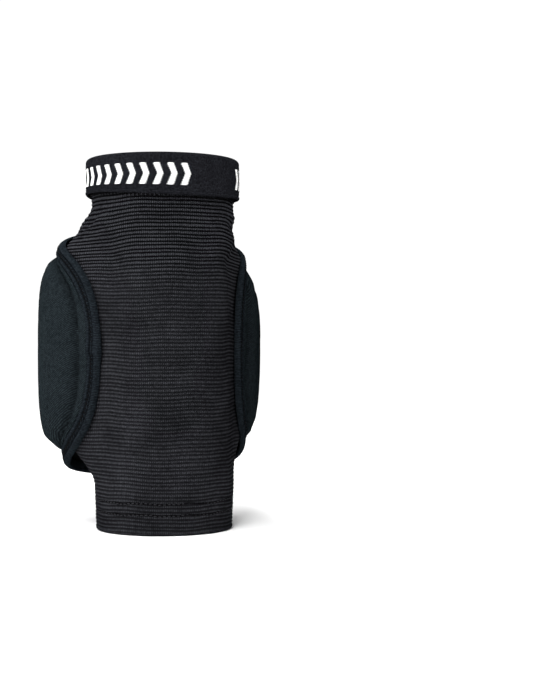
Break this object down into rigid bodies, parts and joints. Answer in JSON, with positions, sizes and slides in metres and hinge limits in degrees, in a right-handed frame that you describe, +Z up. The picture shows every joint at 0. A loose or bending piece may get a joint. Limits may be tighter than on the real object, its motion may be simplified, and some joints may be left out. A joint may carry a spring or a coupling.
{
  "type": "elbow pad",
  "caption": "Slip-on elbow pad: ribbed knit sleeve with a folded elastic top band, a coverstitched cuff hem and a bound foam cup over the elbow tip.",
  "frame": {"origin": "centre of the bounding box at its bottom, on the plane that the cuff edge stands on", "axes": "+Z up along the sleeve from the cuff to the top band, -Y out of the inner-elbow side (the plain ribbed front), +Y out of the padded elbow tip, +X to the right seen from the -Y side"},
  "size_m": [0.1346, 0.1142, 0.215],
  "materials": {
    "knit": "black ribbed elastic knit",
    "band": "black woven elastic",
    "band_yarn": "white woven yarn",
    "cover": "black twill-faced stretch cloth with a faint blue-green cast",
    "backing": "black brushed lining cloth",
    "foam": "closed-cell foam",
    "binding": "black folded binding tape",
    "thread": "black polyester thread"
  },
  "bodies": {
    "root": {"sleeve": "knit", "hem_fold": "knit", "hem_stitch_upper": "thread", "hem_stitch_lower": "thread", "top_band": "band", "band_pattern": "band_yarn", "band_join_stitch": "thread", "band_close_stitch": "thread", "pad_cover": "cover", "foam_core": "foam", "pad_backing": "backing", "edge_binding": "binding", "binding_stitch_outer": "thread", "binding_stitch_inner": "thread", "pad_attach_stitch": "thread"}
  },
  "joints": []
}
